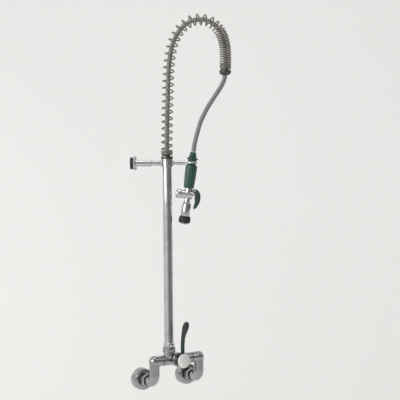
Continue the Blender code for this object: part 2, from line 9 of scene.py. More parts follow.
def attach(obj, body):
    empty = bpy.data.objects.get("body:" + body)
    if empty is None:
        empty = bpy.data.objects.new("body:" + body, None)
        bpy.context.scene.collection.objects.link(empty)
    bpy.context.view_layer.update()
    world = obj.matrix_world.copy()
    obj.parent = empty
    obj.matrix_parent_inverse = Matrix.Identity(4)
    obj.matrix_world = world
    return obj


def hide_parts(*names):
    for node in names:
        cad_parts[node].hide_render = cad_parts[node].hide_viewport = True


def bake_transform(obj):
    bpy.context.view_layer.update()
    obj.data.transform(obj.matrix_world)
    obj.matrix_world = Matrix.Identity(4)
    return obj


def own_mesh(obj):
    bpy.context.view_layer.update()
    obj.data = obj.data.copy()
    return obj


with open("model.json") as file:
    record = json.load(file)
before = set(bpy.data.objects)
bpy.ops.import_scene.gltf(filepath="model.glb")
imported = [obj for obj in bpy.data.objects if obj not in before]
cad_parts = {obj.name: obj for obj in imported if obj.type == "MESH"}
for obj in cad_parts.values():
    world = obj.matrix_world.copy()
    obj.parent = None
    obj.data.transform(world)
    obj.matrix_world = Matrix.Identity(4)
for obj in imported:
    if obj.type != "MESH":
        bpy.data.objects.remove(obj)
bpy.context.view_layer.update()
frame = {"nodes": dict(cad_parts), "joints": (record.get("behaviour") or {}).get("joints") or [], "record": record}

MM = 0.001
X, Y, Z, FRONT, DOWN, WALLWARD = (1, 0, 0), (0, 1, 0), (0, 0, 1), (0, -1, 0), (0, 0, -1), (-1, 0, 0)
joints = {joint["name"]: joint for joint in frame["joints"]}


# Places: the faucet's own frame, the turned column's, and the leaning hand spray's

def axes_at(origin, x_axis, y_axis):
    x, y = Vector(x_axis).normalized(), Vector(y_axis).normalized()
    turn = Matrix((x, y, x.cross(y))).transposed().to_4x4()
    return Matrix.Translation(origin) @ turn


riser_foot = Vector(joints["column_swivel"]["pos_m"])
outward = -Vector(joints["bracket_reach"]["axis"])
hinge_line = Vector(joints["trigger_squeeze"]["axis"])
BASE = Matrix.Identity(4)
COLUMN = axes_at((riser_foot.x, riser_foot.y, 0), outward, hinge_line)
SPRAY = axes_at(joints["valve_stroke"]["pos_m"], -Vector(joints["valve_stroke"]["axis"]), hinge_line)

CARTRIDGE = Vector(joints["mixer_flow"]["pos_m"])
LEG_Y = riser_foot.y
INLET_X = 75 * MM
BRIDGE_Z = CARTRIDGE.z
BRACKET_Z = joints["bracket_reach"]["pos_m"][2]
RISER_RADIUS, RISER_BORE, HOSE_RADIUS = 13.7, 11.6, 6.5
SPRING_RADIUS, SPRING_WIRE = 15.2, 2.2
OPEN_PITCH, TIGHT_PITCH, CLOSED_PITCH = 19.5, 7, 5
TIGHT_LENGTH, EASING_LENGTH, CLOSED_LENGTH = 105, 50, 14
PIN_AT, PIN_HOLE = (19, 0, 13), 2
WALL_SCREW_OFFSET, WALL_SCREW_HOLE, LOCK_SCREW_AT = 14.9, 2.4, -50
VIEW_TURN = -32.8

HOOP_ROUTE = [
    (0, 663), (0.5, 700), (2, 760), (4, 815), (6, 868), (9, 911), (14, 948), (22, 977), (35, 1002),
    (52, 1022), (74, 1036), (99, 1040), (122, 1036), (142, 1023), (157.5, 1003), (167, 979),
    (171, 951), (171.5, 922), (170.5, 891),
]
DROP_ROUTE = [
    (168.5, 873), (160.5, 852), (146, 829), (126.5, 800), (110.5, 773), (97.5, 745), (88.5, 716),
    (83.2, 697), (79.4, 680), (76.7, 661),
]


# Camera

def camera():
    azimuth, elevation, roll = math.radians(VIEW_TURN), math.radians(1.0), math.radians(-0.59)
    distance, side_shift, aim_height, lens = 2.934, 0.0725, 0.5212, 91.17
    back = Vector((math.sin(azimuth) * math.cos(elevation), -math.cos(azimuth) * math.cos(elevation),
                   math.sin(elevation)))
    right = Vector((math.cos(azimuth), math.sin(azimuth), 0))
    data = bpy.data.cameras.new("camera")
    data.lens, data.sensor_width = lens, 36
    obj = bpy.data.objects.new("camera", data)
    bpy.context.scene.collection.objects.link(obj)
    obj.location = Vector((0, LEG_Y, aim_height)) + right * side_shift + back * distance
    up = back.cross(right)
    tilted_right = right * math.cos(roll) + up * math.sin(roll)
    tilted_up = up * math.cos(roll) - right * math.sin(roll)
    obj.rotation_euler = Matrix((tilted_right, tilted_up, back)).transposed().to_euler()
    bpy.context.scene.camera = obj


# Shader maths

class Value:
    """A socket or a number, with Python's operators as Math nodes."""

    def __init__(self, tree, socket):
        self.tree, self.socket = tree, socket

    def node(self, kind, *values, out=0, **settings):
        node = self.tree.nodes.new(kind)
        for key, value in settings.items():
            setattr(node, key, value)
        for slot, value in zip(node.inputs, values):
            if isinstance(value, Value):
                self.tree.links.new(value.socket, slot)
            elif value is not None:
                slot.default_value = value
        return Value(self.tree, node.outputs[out])

    def maths(self, operation, *values):
        return self.node("ShaderNodeMath", *values, operation=operation)

    def __add__(self, other):
        return self.maths("ADD", self, other)

    def __radd__(self, other):
        return self.maths("ADD", other, self)

    def __sub__(self, other):
        return self.maths("SUBTRACT", self, other)

    def __rsub__(self, other):
        return self.maths("SUBTRACT", other, self)

    def __mul__(self, other):
        return self.maths("MULTIPLY", self, other)

    def __rmul__(self, other):
        return self.maths("MULTIPLY", other, self)


def shaded(color, share):
    return tuple(c * share for c in color)


class Finish:
    """A material that is built from noise, wear and bump on the object's own coordinates."""

    def __init__(self, name, color, roughness, metallic=0.0):
        self.material = bpy.data.materials.new(name)
        self.material.use_nodes = True
        self.tree = self.material.node_tree
        self.shader = self.tree.nodes["Principled BSDF"]
        self.shader.inputs["Base Color"].default_value = (*color, 1)
        self.shader.inputs["Roughness"].default_value = roughness
        self.shader.inputs["Metallic"].default_value = metallic
        self.material.diffuse_color = (*color, 1)
        self.here = Value(self.tree, None)
        self.place = self.here.node("ShaderNodeTexCoord", out="Object")

    def noise(self, scale, detail=3.0, stretch=(1, 1, 1)):
        where = self.here.node("ShaderNodeMapping", self.place, None, None, stretch)
        return self.here.node("ShaderNodeTexNoise", where, None, scale, detail, out="Fac")

    def ramp(self, value, low, high, start=0.0, end=1.0):
        return self.here.node("ShaderNodeMapRange", value, low, high, start, end)

    def mix(self, share, one, two):
        node = self.tree.nodes.new("ShaderNodeMix")
        node.data_type = "RGBA"
        for slot, value in ((0, share), (6, one), (7, two)):
            if isinstance(value, Value):
                self.tree.links.new(value.socket, node.inputs[slot])
            else:
                node.inputs[slot].default_value = (*value, 1) if isinstance(value, tuple) else value
        return Value(self.tree, node.outputs[2])

    def edges(self, low=0.52, high=0.6):
        """Where the surface stands out sharply: worn bright or smooth."""
        pointed = self.here.node("ShaderNodeNewGeometry", out="Pointiness")
        return self.ramp(pointed, low, high)

    def feed(self, slot, value):
        self.tree.links.new(value.socket, self.shader.inputs[slot])

    def bump(self, height, strength, distance):
        self.feed("Normal", self.here.node("ShaderNodeBump", strength, distance, None, height))
        return self


def polished_chrome(name, color, roughness):
    finish = Finish(name, color, roughness, 1.0)
    smears = finish.noise(28, 4)
    streaks = finish.noise(60, 2, (1, 1, 0.06))
    specks = finish.ramp(finish.noise(900, 2), 0.66, 0.74)
    lime = finish.ramp(finish.noise(45, 5), 0.58, 0.72, 0, 0.5) * finish.ramp(smears, 0.45, 0.6)
    finish.feed("Base Color", finish.mix(finish.ramp(smears, 0.35, 0.7), color, shaded(color, 0.82)))
    finish.feed("Roughness", roughness + smears * 0.06 + streaks * 0.05 + specks * 0.12 + lime * 0.25)
    return finish.bump(finish.noise(700, 2) * 0.3 + streaks * 0.3, 0.06, 0.0004)


def drawn_steel(name, color, roughness, grain=400):
    finish = Finish(name, color, roughness, 1.0)
    fine = finish.noise(grain, 3)
    stain = finish.noise(35, 4)
    finish.feed("Base Color", finish.mix(finish.ramp(stain, 0.4, 0.7), color, shaded(color, 0.6)))
    finish.feed("Roughness", roughness + fine * 0.14 + stain * 0.1)
    return finish.bump(fine, 0.15, 0.0003)


def moulded(name, color, worn, roughness, grain, coat=0.0):
    finish = Finish(name, color, roughness)
    cloud = finish.noise(22, 4)
    fine = finish.noise(grain, 2)
    scuffs = finish.ramp(finish.noise(160, 4, (1, 1, 0.3)), 0.6, 0.75)
    tone = finish.mix(finish.ramp(cloud, 0.3, 0.75), color, shaded(color, 0.72))
    tone = finish.mix(finish.edges() * 0.6 + scuffs * 0.25, tone, worn)
    finish.feed("Base Color", tone)
    finish.feed("Roughness", roughness + scuffs * 0.15 + fine * 0.12 - finish.edges() * 0.1)
    finish.shader.inputs["Coat Weight"].default_value = coat
    finish.shader.inputs["Coat Roughness"].default_value = 0.2
    return finish.bump(fine, 0.2, 0.0003)


def braided(name, color, gaps):
    """Two sets of crossing strands, from the tube's own turn and length coordinates."""
    finish = Finish(name, color, 0.35, 0.9)
    across = finish.here.node("ShaderNodeUVMap", uv_map="sweep")
    turn = finish.here.node("ShaderNodeSeparateXYZ", across)
    length = Value(finish.tree, turn.socket.node.outputs[1])
    strands = 12
    right = finish.here.maths("SINE", (turn + length) * (strands * math.tau))
    left = finish.here.maths("SINE", (turn - length) * (strands * math.tau))
    weave = finish.here.maths("MAXIMUM", right, left)
    tone = finish.ramp(weave, -0.2, 0.8)
    strand = finish.mix(finish.noise(60), color, shaded(color, 0.75))
    finish.feed("Base Color", finish.mix(tone, gaps, strand))
    finish.feed("Roughness", 0.55 - tone * 0.2 + finish.noise(300) * 0.1)
    finish.feed("Metallic", tone * 0.85)
    return finish.bump(weave, 0.5, 0.0006)


FINISHES = {
    "chrome": polished_chrome("chrome", (0.6, 0.6, 0.6), 0.09),
    # Darker copy of the same chrome for the inlets, mixer and riser nut: painted shade on the same plating
    "base_chrome_painted_shade": polished_chrome("base_chrome_painted_shade", (0.4, 0.39, 0.39), 0.11),
    # Near-black copy of the chrome for the riser cap: painted shadow where the spring's lowest turns shade the top
    # of the riser
    "painted_shadow_chrome": polished_chrome("painted_shadow_chrome", (0.13, 0.13, 0.13), 0.16),
    "steel": drawn_steel("steel", (0.5, 0.5, 0.49), 0.28),
    "spring_steel": drawn_steel("spring_steel", (0.33, 0.305, 0.275), 0.3),
    "dark_steel": drawn_steel("dark_steel", (0.1, 0.1, 0.1), 0.35),
    "brass": drawn_steel("brass", (0.62, 0.45, 0.2), 0.25),
    "hose_braid": braided("hose_braid", (0.42, 0.42, 0.42), (0.05, 0.05, 0.05)),
    "green_plastic": moulded("green_plastic", (0.01, 0.07, 0.052), (0.035, 0.12, 0.09), 0.38, 1400, 0.2),
    "trigger_green": moulded("trigger_green", (0.016, 0.042, 0.034), (0.04, 0.08, 0.065), 0.4, 1400, 0.2),
    "lever_green": moulded("lever_green", (0.003, 0.021, 0.013), (0.02, 0.07, 0.05), 0.35, 1400, 0.3),
    "black_plastic": moulded("black_plastic", (0.02, 0.02, 0.02), (0.06, 0.06, 0.06), 0.45, 1200),
    "black_rubber": moulded("black_rubber", (0.016, 0.016, 0.016), (0.05, 0.05, 0.05), 0.6, 2000),
    "white_plastic": moulded("white_plastic", (0.86, 0.86, 0.84), (0.9, 0.9, 0.88), 0.25, 900, 0.5),
    "ceramic": moulded("ceramic", (0.8, 0.78, 0.72), (0.85, 0.83, 0.78), 0.35, 1500),
}


# Modelling

def deselect():
    if bpy.context.mode != "OBJECT":
        bpy.ops.object.mode_set(mode="OBJECT")
    bpy.ops.object.select_all(action="DESELECT")


def only(obj):
    deselect()
    obj.select_set(True)
    bpy.context.view_layer.objects.active = obj


def named(name):
    obj = bpy.context.active_object
    obj.name = obj.data.name = name
    return obj


def move_into(obj, where, at=(0, 0, 0), aim=Z):
    bpy.context.view_layer.update()
    turn = Vector(Z).rotation_difference(Vector(aim)).to_matrix().to_4x4()
    obj.matrix_world = where @ Matrix.Translation([v * MM for v in at]) @ turn @ obj.matrix_world
    only(obj)
    bpy.ops.object.transform_apply(location=True, rotation=True, scale=True)
    return obj


def apply_modifiers(obj):
    only(obj)
    for modifier in list(obj.modifiers):
        bpy.ops.object.modifier_apply(modifier=modifier.name)
    return obj


def soften(obj, width, segments=3, angle=32):
    bevel = obj.modifiers.new("soft edges", "BEVEL")
    bevel.width, bevel.segments = width * MM, segments
    bevel.limit_method, bevel.angle_limit = "ANGLE", math.radians(angle)
    return apply_modifiers(obj)


def face_outwards(obj):
    only(obj)
    bpy.ops.object.mode_set(mode="EDIT")
    bpy.ops.mesh.select_all(action="SELECT")
    bpy.ops.mesh.remove_doubles(threshold=0.000005)
    bpy.ops.mesh.normals_make_consistent(inside=False)
    bpy.ops.object.mode_set(mode="OBJECT")


def turned(name, stations, where=BASE, at=(0, 0, 0), aim=Z, ring=False, edge=0.35, segments=64):
    """A ring, extruded and resized from station to station (radius, height), then closed."""
    deselect()
    radius, height = stations[0]
    bpy.ops.mesh.primitive_circle_add(vertices=segments, radius=radius * MM, location=(0, 0, height * MM))
    obj = named(name)
    bpy.ops.object.mode_set(mode="EDIT")
    bpy.ops.mesh.select_all(action="SELECT")
    for (radius, height), (next_radius, next_height) in zip(stations, stations[1:]):
        rise = (next_height - height) * MM
        bpy.ops.mesh.extrude_region_move(TRANSFORM_OT_translate={"value": (0, 0, rise)})
        share = next_radius / radius
        bpy.ops.transform.resize(value=(share, share, 1), center_override=(0, 0, next_height * MM))
    bpy.ops.mesh.select_all(action="DESELECT")
    bpy.ops.mesh.select_mode(type="EDGE")
    bpy.ops.mesh.select_non_manifold()
    if ring:
        bpy.ops.mesh.bridge_edge_loops()
    else:
        bpy.ops.mesh.fill_holes(sides=0)
    bpy.ops.object.mode_set(mode="OBJECT")
    face_outwards(obj)
    if edge:
        soften(obj, edge)
    return move_into(obj, where, at, aim)


def bar(name, radius, low, high, where=BASE, at=(0, 0, 0), aim=Z, edge=0):
    return turned(name, [(radius, low), (radius, high)], where, at, aim, edge=edge)


def ball(name, radius, where, at):
    deselect()
    bpy.ops.mesh.primitive_uv_sphere_add(segments=64, ring_count=32, radius=radius * MM)
    return move_into(named(name), where, at)


def combine(obj, tool, operation):
    modifier = obj.modifiers.new(operation, "BOOLEAN")
    modifier.operation, modifier.object, modifier.solver = operation, tool, "EXACT"
    apply_modifiers(obj)
    bpy.data.objects.remove(tool, do_unlink=True)
    return obj


def cast(name, shapes, voxel=0.8, rounds=6):
    """One casting from overlapping shapes, with soft fillets where they meet."""
    deselect()
    for shape in shapes:
        shape.select_set(True)
    bpy.context.view_layer.objects.active = shapes[0]
    bpy.ops.object.join()
    obj = named(name)
    remesh = obj.modifiers.new("skin", "REMESH")
    remesh.mode, remesh.voxel_size = "VOXEL", voxel * MM
    smooth = obj.modifiers.new("fillets", "SMOOTH")
    smooth.factor, smooth.iterations = 0.5, rounds
    return apply_modifiers(obj)


def drill(obj, where, bores):
    """Cuts a set of bores (start, direction, radius, from, to) that run into each other."""
    tools = [bar("bore", radius, low, high, where, at, aim) for at, aim, radius, low, high in bores]
    return combine(obj, cast("bores", tools, 0.47, 1), "DIFFERENCE")


def hex_nut(name, across_flats, low, high, bore, where=BASE, at=(0, 0, 0), aim=Z):
    deselect()
    corner = across_flats / math.sqrt(3)
    bpy.ops.mesh.primitive_cylinder_add(vertices=6, radius=corner * MM, depth=(high - low) * MM,
                                        location=(0, 0, (low + high) / 2 * MM))
    nut = named(name)
    bpy.ops.object.transform_apply(location=True, rotation=False, scale=False)
    cone = (corner - across_flats / 2) * 0.7
    narrow, wide = corner - cone - 0.6, corner + 0.4
    chamfers = turned("nut_chamfers", [
        (narrow, low - 0.01), (wide, low + cone), (wide, high - cone), (narrow, high + 0.01),
    ], edge=0)
    combine(nut, chamfers, "INTERSECT")
    combine(nut, bar("nut_bore", bore, low - 1, high + 1), "DIFFERENCE")
    soften(nut, 0.3, 2)
    return move_into(nut, where, at, aim)


def plate(name, loops, thickness, where, at=(0, 0, 0), aim=Z, edge=0.8):
    """A flat piece with rounded edges, filled between its outline and its holes."""
    curve = bpy.data.curves.new(name, "CURVE")
    curve.dimensions, curve.fill_mode = "2D", "BOTH"
    curve.extrude, curve.bevel_depth, curve.bevel_resolution = (thickness / 2 - edge) * MM, edge * MM, 3
    curve.offset = -edge * MM
    for loop in loops:
        spline = curve.splines.new("POLY")
        spline.points.add(len(loop) - 1)
        for point, (x, y) in zip(spline.points, loop):
            point.co = (x * MM, y * MM, 0, 1)
        spline.use_cyclic_u = True
    obj = bpy.data.objects.new(name, curve)
    bpy.context.scene.collection.objects.link(obj)
    only(obj)
    bpy.ops.object.convert(target="MESH")
    obj = named(name)
    face_outwards(obj)
    return move_into(obj, where, at, aim)


def arc(radius, start, end, count, x=0.0, y=0.0):
    turns = [math.radians(start + (end - start) * i / (count - 1)) for i in range(count)]
    return [(x + radius * math.cos(t), y + radius * math.sin(t)) for t in turns]


def smooth(route, spacing):
    """Points every spacing along a smooth curve through a route of (distance, height)."""
    knots = [Vector(point) for point in route]
    knots = [2 * knots[0] - knots[1]] + knots + [2 * knots[-1] - knots[-2]]
    fine = []
    for i in range(1, len(knots) - 2):
        a, b, c, d = knots[i - 1:i + 3]
        for k in range(20):
            t = k / 20
            fine.append(0.5 * (2 * b + (c - a) * t + (2 * a - 5 * b + 4 * c - d) * t * t
                               + (3 * b - a - 3 * c + d) * t ** 3))
    fine.append(knots[-2])
    lengths = [0]
    for p, q in zip(fine, fine[1:]):
        lengths.append(lengths[-1] + (q - p).length)
    count = max(2, round(lengths[-1] / spacing)) + 1
    points, j = [], 0
    for i in range(count):
        want = lengths[-1] * i / (count - 1)
        while j < len(fine) - 2 and lengths[j + 1] < want:
            j += 1
        points.append(fine[j].lerp(fine[j + 1], (want - lengths[j]) / (lengths[j + 1] - lengths[j])))
    return points


def swept(name, line, radii, where, sides=32):
    """A round tube along a line in its frame's XZ plane, with turn and length coordinates on it."""
    mesh, bm = bpy.data.meshes.new(name), bmesh.new()
    sweep = bm.loops.layers.uv.new("sweep")
    rings, lengths = [], [0]
    for p, q in zip(line, line[1:]):
        lengths.append(lengths[-1] + (q - p).length)
    for i, (p, radius) in enumerate(zip(line, radii)):
        along = (line[min(i + 1, len(line) - 1)] - line[max(i - 1, 0)]).normalized()
        ring = []
        for k in range(sides):
            turn = math.tau * k / sides
            side = radius * math.cos(turn)
            co = (p.x - along.y * side, radius * math.sin(turn), p.y + along.x * side)
            ring.append(bm.verts.new([v * MM for v in co]))
        rings.append(ring)
    for i, (ring, above) in enumerate(zip(rings, rings[1:])):
        for k in range(sides):
            face = bm.faces.new((ring[k], ring[(k + 1) % sides], above[(k + 1) % sides], above[k]))
            corners = ((k, i), (k + 1, i), (k + 1, i + 1), (k, i + 1))
            for loop, (turn, row) in zip(face.loops, corners):
                loop[sweep].uv = (turn / sides, lengths[row] / (math.tau * max(radii)))
    bm.faces.new(rings[0])
    bm.faces.new(rings[-1][::-1])
    bmesh.ops.recalc_face_normals(bm, faces=bm.faces)
    bm.to_mesh(mesh)
    bm.free()
    obj = bpy.data.objects.new(name, mesh)
    bpy.context.scene.collection.objects.link(obj)
    return move_into(obj, where)


def wire(name, points, radius, where, resolution=3):
    curve = bpy.data.curves.new(name, "CURVE")
    curve.dimensions = "3D"
    curve.bevel_depth, curve.bevel_resolution, curve.use_fill_caps = radius * MM, resolution, True
    spline = curve.splines.new("POLY")
    spline.points.add(len(points) - 1)
    for point, co in zip(spline.points, points):
        point.co = (*[v * MM for v in co], 1)
    obj = bpy.data.objects.new(name, curve)
    bpy.context.scene.collection.objects.link(obj)
    only(obj)
    bpy.ops.object.convert(target="MESH")
    obj = named(name)
    face_outwards(obj)
    return move_into(obj, where)


def done(obj, body, slot, *nodes, finish=None, angle=35, blend=None):
    only(obj)
    bpy.ops.object.shade_smooth_by_angle(angle=math.radians(angle))
    obj.data.materials.clear()
    obj.data.materials.append(FINISHES[finish or slot].material)
    if blend:
        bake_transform(obj)
    else:
        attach(obj, body)
    if nodes:
        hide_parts(*nodes)
    return obj


# Wall inlets

def inlet(side, sign):
    at = (sign * INLET_X / MM, 0, 0)
    rosette = turned(f"rosette_{side}", [
        (14.2, 24.4), (14.2, 26), (27, 26), (29.4, 24.8), (31, 21.5), (31.4, 14), (32, 0.3), (30.4, 0.3),
        (29.2, 21), (26, 24.4),
    ], BASE, at, FRONT, ring=True, edge=0.5)
    done(rosette, "base", "chrome", f"wall_rosette_{side}", finish="base_chrome_painted_shade")
    nut = hex_nut(f"union_nut_{side}", 36, 30, 50, 13.4, BASE, at, FRONT)
    done(nut, "base", "chrome", f"inlet_nut_{side}", finish="base_chrome_painted_shade")
    leg_x, leg_y, top, bend = at[0], LEG_Y / MM, BRIDGE_Z / MM, 22
    corner_at, inwards = (leg_x, leg_y, top), (-sign, 0, 0)
    route = [Vector((0, top + 0.1)), Vector((0, top - 20)), Vector((0, bend))]
    route += [Vector((bend - bend * math.cos(t), bend - bend * math.sin(t)))
              for t in [math.pi / 2 * i / 16 for i in range(1, 17)]] + [Vector((28, 0))]
    leg_frame = axes_at((leg_x * MM, LEG_Y, 0), Y, WALLWARD)
    leg = swept(f"leg_{side}", route, [14.6] * len(route), leg_frame, 48)
    corner = ball("corner", 16.2, BASE, corner_at)
    arm = bar("arm", 15, 0, 25, BASE, corner_at, inwards)
    tail = turned("tail", [(12.6, 0), (12.6, 3), (10.5, 3), (10.5, 18)], BASE, (leg_x, -42.3, 0), FRONT,
                  edge=0)
    elbow = cast(f"elbow_{side}", [leg, corner, arm, tail], 0.7, 4)
    drill(elbow, BASE, (
        (corner_at, inwards, 9, -4, 30), (corner_at, DOWN, 8, -4, 55),
        ((leg_x, leg_y, 0), Y, 7.6, 4, 45),
    ))
    done(elbow, "base", "chrome", f"inlet_elbow_{side}", finish="base_chrome_painted_shade", angle=50)


# Mixer

def mixer():
    pivot = [v / MM for v in CARTRIDGE]
    mixer_casting()
    cartridge_cover(pivot)
    lever(pivot)
    cap = turned("mixer_cap", [
        (20.4, 22.3), (20.4, 23), (19, 25), (15, 26.8), (13.6, 27.15), (13.2, 26.85), (12.8, 27.25),
        (9, 27.7), (3, 28),
    ], BASE, pivot, FRONT, edge=0.3)
    done(cap, "lever", "white_plastic", "index_cap")


def mixer_casting():
    centre = (0, LEG_Y / MM, BRIDGE_Z / MM)
    riser_place = (riser_foot.x / MM, centre[1], 0)
    shapes = [
        bar("bridge", 15, -48, 48, BASE, centre, X),
        turned("housing", [(17, -16), (21, -12), (21, 17)], BASE, centre, FRONT, edge=0),
        turned("boss", [(11, 53), (16.7, 72), (16.3, 84)], BASE, riser_place, edge=0),
    ]
    body = cast("mixer_casting", shapes, 0.7, 4)
    drill(body, BASE, (
        (centre, FRONT, 18, -11, 18), (centre, X, 9, 14, 50), (centre, WALLWARD, 9, 14, 50),
        (riser_place, Z, 14.1, 76, 86), (riser_place, Z, 4.5, 65, 77),
    ))
    done(body, "base", "chrome", "mixer_body", finish="base_chrome_painted_shade", angle=50)


def cartridge_cover(pivot):
    dome = [(17.5 * math.cos(math.radians(a)), 17.5 * math.sin(math.radians(a))) for a in range(2, 44, 4)]
    inner = [(r * 0.897, z * 0.897) for r, z in dome]
    shell = turned("mixer_dome", dome[::-1] + [(20.3, 0.6), (20.6, 0.3), (20.6, -0.7), (15.7, -0.7)] + inner,
                   BASE, pivot, FRONT, ring=True, edge=0.15)
    done(shell, "base", "chrome", "cartridge_dome", finish="base_chrome_painted_shade")


def lever(pivot):
    """A hub over the cover, with an arm that thickens to a club and leans out at its top."""
    hollow = [(18.1 * math.sin(a), 18.1 * math.cos(a)) for a in
              [math.radians(60.2 - 52 * i / 12) for i in range(12)]]
    hub = turned("hub", [
        (4.7, 19.6), (4.7, 22), (19, 22), (20, 21), (20, 10), (19, 9), *hollow, (4.3, 17.4), (4.3, 18.3),
        (2.4, 18.3), (2.4, 19.6),
    ], BASE, pivot, FRONT, ring=True, edge=0)
    stations = [  # height, lean, radius
        (17, 0, 6.2), (26, 0, 5.6), (40, 0.3, 5.6), (54, 1.2, 5.8), (66, 3.5, 6), (76, 7, 6.8),
        (86, 11.5, 8.4), (96, 16.5, 9.4), (104, 20.5, 9), (110, 23.5, 7), (113, 25, 4),
    ]
    line = smooth([(lean, rise) for rise, lean, _ in stations], 1.5)
    radii = []
    for point in line:
        above = next((i for i, s in enumerate(stations) if s[0] >= point.y - 0.001), len(stations) - 1)
        low, high = stations[max(above - 1, 0)], stations[above]
        share = (point.y - low[0]) / max(high[0] - low[0], 0.001)
        radii.append(low[2] + (high[2] - low[2]) * min(max(share, 0), 1))
    arm_frame = axes_at((0, CARTRIDGE.y - 15.5 * MM, CARTRIDGE.z), FRONT, X)
    arm = swept("lever_arm", line, radii, arm_frame, 48)
    handle = cast("lever", [hub, arm], 0.5, 3)
    done(handle, "lever", "green_plastic", "mixer_lever", finish="lever_green", angle=60)


# Riser and wall bracket

def knurled(obj, count, depth, radius_range, height_range, where):
    """Sinks lengthwise grooves into a band of a turned piece, to give it grip."""
    inverse = where.inverted()
    for vert in obj.data.vertices:
        p = inverse @ vert.co
        radius = math.hypot(p.x, p.y)
        if radius_range[0] < radius / MM < radius_range[1] and height_range[0] < p.z / MM < height_range[1]:
            turn = math.atan2(p.y, p.x) * count
            share = 1 - depth * MM * (0.5 + 0.5 * math.cos(turn)) / radius
            vert.co = where @ Vector((p.x * share, p.y * share, p.z))
    return obj


def riser():
    nut = hex_nut("riser_union_nut", 36, 84.3, 97.3, 14.1, COLUMN)
    done(nut, "base", "chrome", "riser_nut", finish="base_chrome_painted_shade")
    pipe = turned("riser", [
        (RISER_BORE, 78), (RISER_RADIUS, 78), (RISER_RADIUS, 97.8), (16.6, 98.5), (16.6, 108.5),
        (RISER_RADIUS, 110), (RISER_RADIUS, 300), (RISER_RADIUS, 500), (RISER_RADIUS, 640), (RISER_BORE, 640),
    ], COLUMN, ring=True, edge=0.4)
    done(pipe, "column", "chrome", "riser_pipe")
    cap = turned("riser_top", [
        (5, 630), (11, 630), (11, 640.3), (16.4, 640.3), (17.4, 641.3), (17.4, 647.2), (16.6, 648), (5, 648),
    ], COLUMN, ring=True, edge=0.4)
    # The cap is painted near-black: painted shadow under the spring's lowest turns
    done(cap, "column", "chrome", "riser_cap", finish="painted_shadow_chrome")
    done(hex_nut("hose_nut", 18, 648.4, 662.4, 6.5, COLUMN), "column", "dark_steel", "hose_lower_nut")


def slotted_screw(name, stations, where, at, aim, slot_end, radius):
    screw = turned(name, stations, where, at, aim, edge=0.2, segments=32)
    deselect()
    bpy.ops.mesh.primitive_cube_add(size=1, location=(0, 0, slot_end * MM))
    tool = named("slot")
    tool.scale = (radius * 2.4 * MM, 0.9 * MM, 1.6 * MM)
    combine(screw, move_into(tool, where, at, aim), "DIFFERENCE")
    return screw


def bracket():
    height = BRACKET_Z / MM
    clamp((0, 0, height))
    arm = turned("bracket_arm", [(7.4, 19.3), (7.4, 40), (7.4, 63.4)], COLUMN, (0, 0, height), WALLWARD,
                 edge=0.5)
    done(arm, "column", "chrome", "bracket_rod")
    wall_flange(height)
    wall_pad(height)
    wall_screws(height)


def clamp(at):
    collar = cast("clamp", [
        turned("clamp_ring", [(14.1, -11), (17, -11), (17, 11), (14.1, 11)], COLUMN, at, ring=True, edge=0),
        bar("boss", 9.5, 15, 19, COLUMN, at, WALLWARD), bar("boss", 7.5, 15, 19, COLUMN, at, X),
    ], 0.45, 3)
    combine(collar, bar("screw_hole", 2.7, 12, 22, COLUMN, at, FRONT), "DIFFERENCE")
    done(collar, "column", "chrome", "bracket_collar", angle=50)
    screw = slotted_screw("clamp_screw", [
        (2, 14.1), (2.4, 14.5), (2.4, 17.3), (4, 17.3), (4, 19.4), (3.4, 20),
    ], COLUMN, at, FRONT, 20, 4)
    done(screw, "column", "steel", "collar_screw")


def wall_screw_holes(obj, height):
    for sign in (1, -1):
        at = (0, 0, height + sign * WALL_SCREW_OFFSET)
        combine(obj, bar("screw_hole", WALL_SCREW_HOLE, 80, 110, COLUMN, at, WALLWARD), "DIFFERENCE")


def wall_flange(height):
    """The plate against the wall, with the socket that the rod slides in."""
    at = (0, 0, height)
    flange = turned("wall_flange", [
        (7.8, 44.5), (9.6, 44.5), (9.6, 90), (10.6, 91), (19.8, 91), (21, 92.5), (21, 96), (17.5, 97),
        (3, 97),
    ], COLUMN, at, WALLWARD, edge=0.4)
    combine(flange, bar("socket", 7.8, 40, 88, COLUMN, at, WALLWARD), "DIFFERENCE")
    wall_screw_holes(flange, height)
    lock_hole = bar("lock_hole", 2.5, 4, 14, COLUMN, (LOCK_SCREW_AT, 0, height), FRONT)
    combine(flange, lock_hole, "DIFFERENCE")
    done(flange, "bracket", "chrome", "bracket_flange")


def wall_pad(height):
    pad = turned("wall_pad", [(3, 97.3), (17, 97.3), (17, 106), (3, 106)], COLUMN, (0, 0, height), WALLWARD,
                 ring=True, edge=0.6)
    wall_screw_holes(pad, height)
    done(pad, "bracket", "black_rubber", "bracket_pad")


def wall_screws(height):
    for label, sign in (("upper", 1), ("lower", -1)):
        wall_screw = slotted_screw(f"wall_screw_{label}", [
            (1.4, 105.7), (2, 105), (2, 90.7), (3.8, 90.7), (3.8, 88.5), (2.6, 87.5),
        ], COLUMN, (0, 0, height + sign * WALL_SCREW_OFFSET), WALLWARD, 87.5, 3.8)
        done(wall_screw, "bracket", "steel", f"bracket_screw_{label}")
    lock = slotted_screw("lock_screw", [
        (2.2, 7.8), (2.2, 10), (3.6, 10), (3.6, 12.4), (3, 13),
    ], COLUMN, (LOCK_SCREW_AT, 0, height), FRONT, 13, 3.6)
    done(lock, "bracket", "steel", "bracket_lock_screw")


